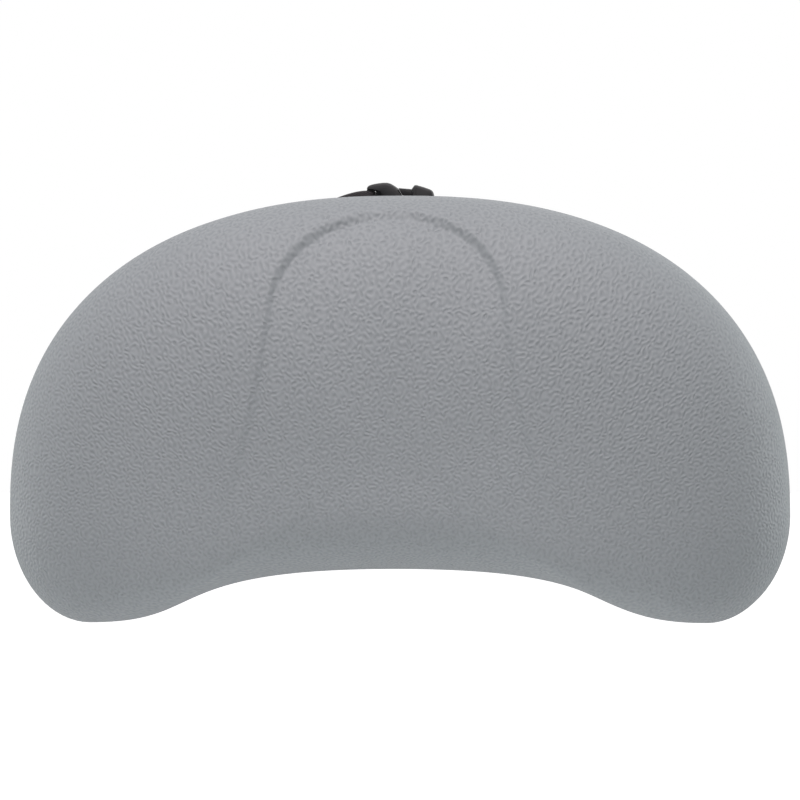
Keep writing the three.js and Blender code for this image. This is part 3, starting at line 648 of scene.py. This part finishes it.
def makeSteel(s):
    material, tree, shader = startMaterial("stainless_steel", {"Metallic": 1.0, "Roughness": 0.3})
    spot = addNode(tree, "ShaderNodeTexCoord").outputs["Object"]
    drawn = addNode(tree, "ShaderNodeMapping", {"Scale": [1.0, s["drawn"], 1.0]}, {"Vector": spot})
    lines = addNode(tree, "ShaderNodeTexNoise", {"Scale": 1 / (s["lineSize"] * mm), "Detail": 2.0}, {
        "Vector": drawn.outputs["Vector"],
    }).outputs["Fac"]
    colour = addNode(tree, "ShaderNodeMix", {
        "data_type": "RGBA", 6: linear(s["line"]), 7: linear(s["colour"]),
    }, {0: lines})
    tree.links.new(colour.outputs[2], shader.inputs["Base Color"])
    dull = addNode(tree, "ShaderNodeMapRange", {"To Min": s["dull"][0], "To Max": s["dull"][1]}, {
        "Value": lines,
    })
    tree.links.new(dull.outputs["Result"], shader.inputs["Roughness"])
    return material


def brokenEdges(node, edge, keep=None):  # a CAD node's mesh with its edges eased, apart from those to keep
    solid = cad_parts[node].data
    mesh = bpy.data.meshes.new(node + "_eased")
    mesh.from_pydata([v.co for v in solid.vertices], [], [list(f.vertices) for f in solid.polygons])
    shape = bmesh.new()
    shape.from_mesh(mesh)
    bmesh.ops.remove_doubles(shape, verts=shape.verts, dist=0.002 * mm)
    bmesh.ops.dissolve_limit(shape, angle_limit=math.radians(1), verts=shape.verts, edges=shape.edges)
    corners = [e for e in shape.edges if len(e.link_faces) == 2 and e.calc_face_angle() > math.radians(30)]
    if keep:
        corners = [e for e in corners if not all(keep(v.co) for v in e.verts)]
    bmesh.ops.bevel(shape, geom=corners, offset=edge * mm, segments=2, profile=0.5, affect="EDGES",
                    clamp_overlap=True)
    shape.to_mesh(mesh)
    shape.free()
    return mesh


# Belt anchors: a bracket with two ears, a pin through them and two screws into a moulded-in block
anchor = {"spacing": 144, "drop": 22, "tilt": 21, "standoff": 14, "pinRadius": 2, "pinHalf": 7.3,
          "pinHeadRadius": 3.2, "pinHead": 1.4, "screwSetback": 14, "screwSpacing": 7, "screwSeat": 3.6,
          "screwRadius": 1.5, "screwHeadRadius": 3, "screwHead": 1.8, "screwLength": 11,
          "recessWidth": 0.9, "recessHalf": 1.8, "recessDepth": 1.1, "recessTurn": 30, "edge": 0.5,
          "pinRounding": 0.4, "screwRounding": 0.5, "segments": 40}


def anchorSpot(a, side):
    turn = math.radians(-a["tilt"] if side < 0 else 180 + a["tilt"])
    height = pillowShape["height"] - a["drop"]
    return Matrix.Translation((side * a["spacing"] / 2, 0, height)) @ Matrix.Rotation(turn, 4, "Y")


def makeAnchor(a, name, side, steel):
    spot = anchorSpot(a, side)
    bracket = finishPiece("bracket_" + name, brokenEdges("strap_anchor_" + name, a["edge"]), acetal, "pillow")
    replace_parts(bracket, "strap_anchor_" + name)
    end = a["pinHalf"]
    profile = [(0, -end), (a["pinRadius"], -end), (a["pinRadius"], end), (a["pinHeadRadius"], end),
               (a["pinHeadRadius"], end + a["pinHead"] / 2), (a["pinRadius"], end + a["pinHead"]),
               (0, end + a["pinHead"])]
    across = spot @ Matrix.Translation((0, a["standoff"], 0)) @ Matrix.Rotation(math.pi / 2, 4, "X")
    points, faces = lathe(roundedCorners(profile, a["pinRounding"]), a["segments"], across)
    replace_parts(makePiece("pin_" + name, points, faces, steel, "pillow"), "anchor_pin_" + name)
    for row, lean in (("outer", -1), ("inner", 1)):
        hole = Matrix.Translation((-a["screwSetback"], 0, lean * a["screwSpacing"] / 2))
        makeScrew(a, f"{name}_{row}", spot @ hole, steel)
    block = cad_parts["anchor_insert_" + name]  # sunk in the foam, so the CAD's form stays
    block.data.materials.clear()
    block.data.materials.append(moulded)


def makeScrew(a, name, spot, steel):
    seat, top = a["screwSeat"], a["screwSeat"] + a["screwHead"]
    profile = [(0, seat - a["screwLength"]), (a["screwRadius"] / 2, seat - a["screwLength"]),
               (a["screwRadius"], seat - a["screwLength"] + a["screwRadius"]), (a["screwRadius"], seat),
               (a["screwHeadRadius"], seat), (a["screwHeadRadius"], seat + a["screwHead"] / 2),
               (a["screwRadius"], top), (0, top)]
    points, faces = lathe(roundedCorners(profile, a["screwRounding"]), a["segments"], spot)
    screw = makePiece("screw_" + name, points, faces, steel, "pillow")
    for turn in (0, 90):  # cross recess
        blade = spot @ Matrix.Rotation(math.radians(turn + a["recessTurn"]), 4, "Y")
        half, reach = a["recessWidth"] / 2, a["recessHalf"]
        corners = [(x, y, z) for y in (top - a["recessDepth"], top + 1) for x, z in
                   ((-reach, -half), (reach, -half), (reach, half), (-reach, half))]
        sides = [[3, 2, 1, 0], [4, 5, 6, 7]] + [[k, (k + 1) % 4, (k + 1) % 4 + 4, k + 4] for k in range(4)]
        cutAway(screw, [place(*(blade @ Vector(c))) for c in corners], sides)
    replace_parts(screw, "anchor_screw_" + name)


steel = makeSteel(drawnSteel)
for name, side in (("left", -1), ("right", 1)):
    makeAnchor(anchor, name, side, steel)
print("belt anchors made")


# Side-release buckle: a socket with side windows, a plug and two springy prongs
buckle = {"offset": -3, "drop": 3.65, "tilt": 4.8, "mouth": 9, "seam": 0.3, "seamLeft": 0.04,
          "seamReach": 0.1, "edge": 0.3, "prongEdge": 0.25, "bar": -14.9, "barRadius": 1.4, "rim": 17.25,
          "rimWidth": 2.5, "rimThickness": 2}


def alongBuckle(b, point):  # how far along the belt a point lies from the buckle's middle
    tilt = math.radians(b["tilt"])
    height = (pillowShape["height"] - b["drop"] + lobeFloor) * mm
    return ((point.x - b["offset"] * mm) * math.cos(tilt) - (point.z - height) * math.sin(tilt)) / mm


def makeBuckle(b):
    def atSeam(point):
        return b["mouth"] - b["seamReach"] < alongBuckle(b, point) < b["mouth"] + b["seam"] + b["seamReach"]

    socket = finishPiece("buckle_cup", brokenEdges("buckle_socket", b["edge"], atSeam), acetal, "pillow")
    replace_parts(socket, "buckle_socket")
    mesh = brokenEdges("buckle_plug", b["edge"], atSeam)
    tilt = math.radians(b["tilt"])
    close = Vector((-math.cos(tilt), 0, math.sin(tilt))) * (b["seam"] - b["seamLeft"]) * mm
    for vertex in mesh.vertices:  # pushed home until only a hair line is left
        if atSeam(vertex.co):
            vertex.co += close
    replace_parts(finishPiece("buckle_tongue", mesh, acetal, "pillow"), "buckle_plug")
    for side in ("upper", "lower"):
        prong = finishPiece("prong_" + side, brokenEdges("buckle_prong_" + side, b["prongEdge"]), acetal,
                            "prong_" + side)
        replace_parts(prong, "buckle_prong_" + side)


makeBuckle(buckle)
print("buckle made")


# PP webbing: a black narrow weave whose ribs shimmer slightly and whose furrows are painted darker as shade,
# with a smooth woven edge on either side.
# The real picks are about 0.8 mm apart and are drawn twice as coarse, so that they show
ppWebbing = {"rib": "#3e3c3e", "furrowShade": "#242224", "pick": 1.6, "end": 1.2, "depth": 0.14,
             "edge": (0.9, 0.63), "weave": (0.5, 0.1), "dull": (0.85, 0.6)}

webbing = {"width": 8.5,  # a little fuller than the solid, to fill its slots
           "thickness": 1.2, "clear": 0.3, "eyeClear": 0.5, "sewn": 11, "lead": 11, "eyeTaper": 3,
           "eyeSteps": 24, "step": 0.8, "sight": 0.3, "acrossSteps": 10, "edgeSteps": 5, "ease": 2,
           "runSteps": 400}


def makeWebbing(s):
    material, tree, shader = startMaterial("pp_webbing", {
        "Roughness": 0.7, "Specular IOR Level": 0.3, "Sheen Weight": 0.15, "Sheen Roughness": 0.5,
    })
    spot = addNode(tree, "ShaderNodeUVMap", {"uv_map": "ribbon"}).outputs["UV"]
    axes = addNode(tree, "ShaderNodeSeparateXYZ", {}, {"Vector": spot}).outputs
    waves = []
    for axis, pitch in (("X", s["pick"]), ("Y", s["end"])):
        turn = addNode(tree, "ShaderNodeMath", {"operation": "MULTIPLY", 1: 2 * math.pi / pitch}, {
            0: axes[axis],
        })
        waves.append(addNode(tree, "ShaderNodeMath", {"operation": "SINE"}, {0: turn.outputs[0]}).outputs[0])
    weave = addNode(tree, "ShaderNodeMath", {"operation": "MULTIPLY"}, {0: waves[0], 1: waves[1]}).outputs[0]
    offMiddle = addNode(tree, "ShaderNodeMath", {"operation": "ABSOLUTE"}, {0: axes["Y"]}).outputs[0]
    half = webbing["width"] / 2
    inside = addNode(tree, "ShaderNodeMapRange", {  # the weave is coarse inside and fine along the edge
        "From Min": half - s["edge"][0], "From Max": half - s["edge"][1],
        "To Min": s["weave"][0], "To Max": s["weave"][1],
    }, {"Value": offMiddle}).outputs["Result"]
    height = addNode(tree, "ShaderNodeMath", {"operation": "MULTIPLY_ADD", 2: 0.5}, {
        0: weave, 1: inside,
    }).outputs[0]
    # painted shade: the weave's furrows take a darker colour than its ribs
    colour = addNode(tree, "ShaderNodeMix", {
        "data_type": "RGBA", 6: linear(s["furrowShade"]), 7: linear(s["rib"]),
    }, {0: height})
    tree.links.new(colour.outputs[2], shader.inputs["Base Color"])
    dull = addNode(tree, "ShaderNodeMapRange", {"To Min": s["dull"][0], "To Max": s["dull"][1]}, {
        "Value": height,
    })
    tree.links.new(dull.outputs["Result"], shader.inputs["Roughness"])
    bump = addNode(tree, "ShaderNodeBump", {"Strength": 1.0, "Distance": s["depth"] * mm}, {"Height": height})
    tree.links.new(bump.outputs["Normal"], shader.inputs["Normal"])
    return material


class BeltRun:  # one half of the belt from the buckle to its anchor, seen from the front
    def __init__(self, w, side):
        tilt = math.radians(buckle["tilt"])
        middle = Vector((buckle["offset"], pillowShape["height"] - buckle["drop"]))
        axis = Vector((math.cos(tilt), -math.sin(tilt)))
        along = buckle["bar"] if side < 0 else buckle["rim"]
        start = middle + axis * along
        leave = start + axis * side * w["lead"]
        pin = Vector((side * anchor["spacing"] / 2, pillowShape["height"] - anchor["drop"]))
        reach, slant = (pin - start).length / 2, math.radians(anchor["tilt"])
        arrive = pin + Vector((-side * math.cos(slant), math.sin(slant))) * reach
        curve = []
        for k in range(w["runSteps"] + 1):
            t = k / w["runSteps"]
            ends = start * (1 - t) ** 3 + pin * t ** 3
            curve.append(ends + leave * 3 * t * (1 - t) ** 2 + arrive * 3 * t * t * (1 - t))
        self.walk = Walk(curve)
        self.length = self.walk.length

    def lay(self, along, through, across):  # a point of the straight ribbon, laid along the run
        inRun = min(max(along, 0), self.length)
        point, heading = self.walk.at(inRun), self.walk.heading(inRun)
        spare = along - inRun
        return place(point.x + heading.x * spare - heading.y * across, through + anchor["standoff"],
                     point.y + heading.y * spare + heading.x * across)


def eyeRound(w, at, facing, rise, width):  # half a loop round a bar, from behind it to in front
    radius = rise + w["eyeClear"] + w["thickness"] / 2
    edge = width / 2 + w["eyeClear"] if width else 0
    back = edge - math.sqrt((rise + w["eyeClear"]) ** 2 - rise ** 2) if width else 0
    loop = []
    for k in range(w["eyeSteps"] + 1):
        angle = math.pi * k / w["eyeSteps"]
        loop.append((at + facing * (back + radius * math.sin(angle)), radius * math.cos(angle)))
    if width:
        loop = [(at - facing * edge, radius)] + loop + [(at - facing * edge, -radius)]
    return loop, edge + w["eyeTaper"] * radius


def ribbonLine(w, length, bar):  # in section: tail, loop round the bar, main layer, loop round the pin, tail
    lay = w["thickness"] + w["clear"]
    first, firstFoot = eyeRound(w, 0, -1, *bar)
    last, lastFoot = eyeRound(w, length, 1, anchor["pinRadius"], 0)
    end = length - lastFoot
    line = [(firstFoot + w["sewn"], lay), (firstFoot, lay)] + first + [(firstFoot, 0), (end, 0)]
    line += last[::-1] + [(end, lay), (end - w["sewn"], lay)]
    return Walk(roundedCorners(line, w["ease"])), firstFoot, end


def ribbonSection(w):  # flat faces and rounded edges, as (across, through) pairs
    half, thick = w["width"] / 2, w["thickness"] / 2
    section = []
    for way in (1, -1):
        flat = half - thick
        for k in range(w["acrossSteps"]):
            section.append((way * mix(-flat, flat, k / w["acrossSteps"]), way * thick))
        for k in range(w["edgeSteps"]):
            angle = math.pi / 2 - math.pi * k / w["edgeSteps"]
            section.append((way * (flat + thick * math.cos(angle)), way * thick * math.sin(angle)))
    return section


def makeStrap(w, name, side, material, thread):
    run = BeltRun(w, side)
    bar = (buckle["barRadius"], 0) if side < 0 else (buckle["rimThickness"] / 2, buckle["rimWidth"])
    line, sewnFrom, sewnTo = ribbonLine(w, run.length, bar)
    section = ribbonSection(w)
    count = math.ceil(line.length / w["step"])
    points, faces, ribbon = [], [], []
    for k in range(count + 1):
        distance = line.length * k / count
        middle = line.at(distance)
        ahead = line.at(min(distance + w["sight"], line.length)) - line.at(max(distance - w["sight"], 0))
        normal = Vector((-ahead.y, ahead.x)).normalized()
        for across, through in section:
            spot = middle + normal * through
            points.append(run.lay(spot.x, spot.y, across))
            ribbon.append((distance, across))
    wide = len(section)
    for k in range(count):
        low, high = k * wide, (k + 1) * wide
        for j in range(wide):
            beside = (j + 1) % wide
            faces.append([low + j, low + beside, high + beside, high + j])
    faces += [list(range(wide))[::-1], [count * wide + j for j in range(wide)]]
    strap = makePiece("webbing_" + name, points, faces, material, "pillow", 50)
    layer = strap.data.uv_layers.new(name="ribbon")  # millimetres along and across
    for loop in strap.data.loops:
        layer.data[loop.index].uv = ribbon[loop.vertex_index]
    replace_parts(strap, "strap_" + name)
    makeStitching(stitching, name, run, w, (sewnFrom, sewnTo - w["sewn"]), thread)


# Polyester thread: a box with a cross in it sews each folded end down
stitching = {"colour": "#3b3a3c", "shade": "#2b2a2c", "twist": 0.6, "twistDepth": 0.05, "inset": 1.3,
             "stitch": 1.7, "pitch": 2.2, "radius": 0.26, "proud": 0.08, "blunt": 0.06, "sides": 8,
             "rings": 6}
wavePitch = 0.314  # metres from band to band of a wave texture at scale 1


def makeThread(s):
    material, tree, shader = startMaterial("polyester_thread", {"Roughness": 0.55, "Sheen Weight": 0.2})
    spot = addNode(tree, "ShaderNodeTexCoord").outputs["Object"]
    twist = addNode(tree, "ShaderNodeTexWave", {
        "bands_direction": "DIAGONAL", "Scale": wavePitch / (s["twist"] * mm), "Distortion": 0.5,
    }, {"Vector": spot}).outputs["Fac"]
    colour = addNode(tree, "ShaderNodeMix", {
        "data_type": "RGBA", 6: linear(s["shade"]), 7: linear(s["colour"]),
    }, {0: twist})
    tree.links.new(colour.outputs[2], shader.inputs["Base Color"])
    bump = addNode(tree, "ShaderNodeBump", {"Strength": 0.6, "Distance": s["twistDepth"] * mm}, {
        "Height": twist,
    })
    tree.links.new(bump.outputs["Normal"], shader.inputs["Normal"])
    return material


def makeStitching(s, name, run, w, starts, thread):
    half = w["width"] / 2 - s["inset"]
    points, faces = [], []
    faceOut = w["thickness"] / 2 - s["radius"] + s["proud"]
    for start in starts:
        low, high = start + s["inset"], start + w["sewn"] - s["inset"]
        corners = [Vector((low, -half)), Vector((high, -half)), Vector((high, half)), Vector((low, half))]
        seams = list(zip(corners, corners[1:] + corners[:1]))
        seams += [(corners[0], corners[2]), (corners[1], corners[3])]
        for through in (w["thickness"] + w["clear"] + faceOut, -faceOut):
            for a, b in seams:
                count = max(2, round((b - a).length / s["pitch"]))
                for k in range(count):
                    middle = a.lerp(b, (k + 0.5) / count)
                    addStitch(s, run, points, faces, middle, (b - a).normalized(), through)
    makePiece("stitching_" + name, points, faces, thread, "pillow", 60)


def addStitch(s, run, points, faces, middle, heading, through):  # a spindle of thread, sunk at both ends
    first = len(points)
    for k in range(s["rings"] + 1):
        share = 2 * k / s["rings"] - 1
        thick = s["radius"] * math.sqrt(max(s["blunt"], 1 - share * share))
        centre = middle + heading * s["stitch"] / 2 * share
        for j in range(s["sides"]):
            angle = 2 * math.pi * j / s["sides"]
            off = Vector((-heading.y, heading.x)) * thick * math.cos(angle)
            points.append(run.lay(centre.x + off.x, through + thick * math.sin(angle), centre.y + off.y))
    sides = s["sides"]
    for k in range(s["rings"]):
        for j in range(sides):
            low, high = first + k * sides, first + (k + 1) * sides
            faces.append([low + j, low + (j + 1) % sides, high + (j + 1) % sides, high + j])
    faces.append([first + j for j in range(sides)][::-1])
    faces.append([first + s["rings"] * sides + j for j in range(sides)])


weave, thread = makeWebbing(ppWebbing), makeThread(stitching)
for name, side in (("left", -1), ("right", 1)):
    makeStrap(webbing, name, side, weave, thread)
print("belt made")


# Studio: pale floor and surroundings, a large soft lamp above and in front, a card below to lift the
# underside, and a card behind either side to light the flanks
studio = {
    "floorColour": "#cfcfcf",
    "floorSize": 12000,
    "floorDrop": 300,  # a bath pillow hangs this far above the floor of the bath
    "floorLift": 0.95,  # what the camera sees added to the floor's own light
    "surroundings": 0.338,
    "aim": (0, -40, 0),
    "lights": {
        "softbox": {"place": (-100, -780, 1370), "size": 1400, "power": 25.3, "colour": "#fff3f5"},
        "card_below": {"place": (0, -165, -400), "size": 700, "power": 1.22, "colour": "#ffffff"},
        "card_left": {"place": (-1000, 220, -160), "size": 800, "power": 4.2, "colour": "#ffffff"},
        "card_right": {"place": (1000, 340, 60), "size": 800, "power": 4.8, "colour": "#ffffff"},
    },
}


def makeStudio(s):
    scene = bpy.context.scene
    scene.view_settings.view_transform = "Standard"
    world = bpy.data.worlds.new("studio")
    scene.world = world
    world.use_nodes = True
    tree = world.node_tree
    ray = addNode(tree, "ShaderNodeLightPath").outputs
    seen = addNode(tree, "ShaderNodeMath", {"operation": "MAXIMUM"}, {
        0: ray["Is Camera Ray"], 1: ray["Is Glossy Ray"],
    })
    seen = addNode(tree, "ShaderNodeMath", {"operation": "MAXIMUM"}, {
        0: seen.outputs[0], 1: ray["Is Transmission Ray"],
    })
    strength = addNode(tree, "ShaderNodeMapRange", {"To Min": s["surroundings"], "To Max": 1.0}, {
        "Value": seen.outputs[0],
    })
    background = tree.nodes["Background"]
    background.inputs["Color"].default_value = linear("#ffffff")
    tree.links.new(strength.outputs["Result"], background.inputs["Strength"])

    material = bpy.data.materials.new("paper_floor")
    material.use_nodes = True
    tree = material.node_tree
    shader = tree.nodes["Principled BSDF"]
    shader.inputs["Base Color"].default_value = linear(s["floorColour"])
    shader.inputs["Roughness"].default_value = 0.95
    shader.inputs["Specular IOR Level"].default_value = 0.0
    shader.inputs["Emission Color"].default_value = linear("#ffffff")
    ray = addNode(tree, "ShaderNodeLightPath").outputs
    lift = addNode(tree, "ShaderNodeMath", {"operation": "MULTIPLY", 1: s["floorLift"]}, {
        0: ray["Is Camera Ray"],
    })
    tree.links.new(lift.outputs[0], shader.inputs["Emission Strength"])
    half = s["floorSize"] / 2
    corners = [(-half, -half), (half, -half), (half, half), (-half, half)]
    mesh = bpy.data.meshes.new("floor")
    mesh.from_pydata([place(x, y, -s["floorDrop"]) for x, y in corners], [], [(0, 1, 2, 3)])
    mesh.materials.append(material)
    floor = bpy.data.objects.new("floor", mesh)
    scene.collection.objects.link(floor)

    for name, lamp in s["lights"].items():
        data = bpy.data.lights.new(name, "AREA")
        data.shape, data.size, data.energy = "DISK", lamp["size"] * mm, lamp["power"]
        data.color = linear(lamp["colour"])[:3]
        light = bpy.data.objects.new(name, data)
        spot, aim = Vector(lamp["place"]) * mm, Vector(s["aim"]) * mm
        facing = (spot - aim).to_track_quat("Z", "Y").to_matrix().to_4x4()
        light.matrix_world = Matrix.Translation(spot) @ facing
        scene.collection.objects.link(light)


makeStudio(studio)
print("studio lit")
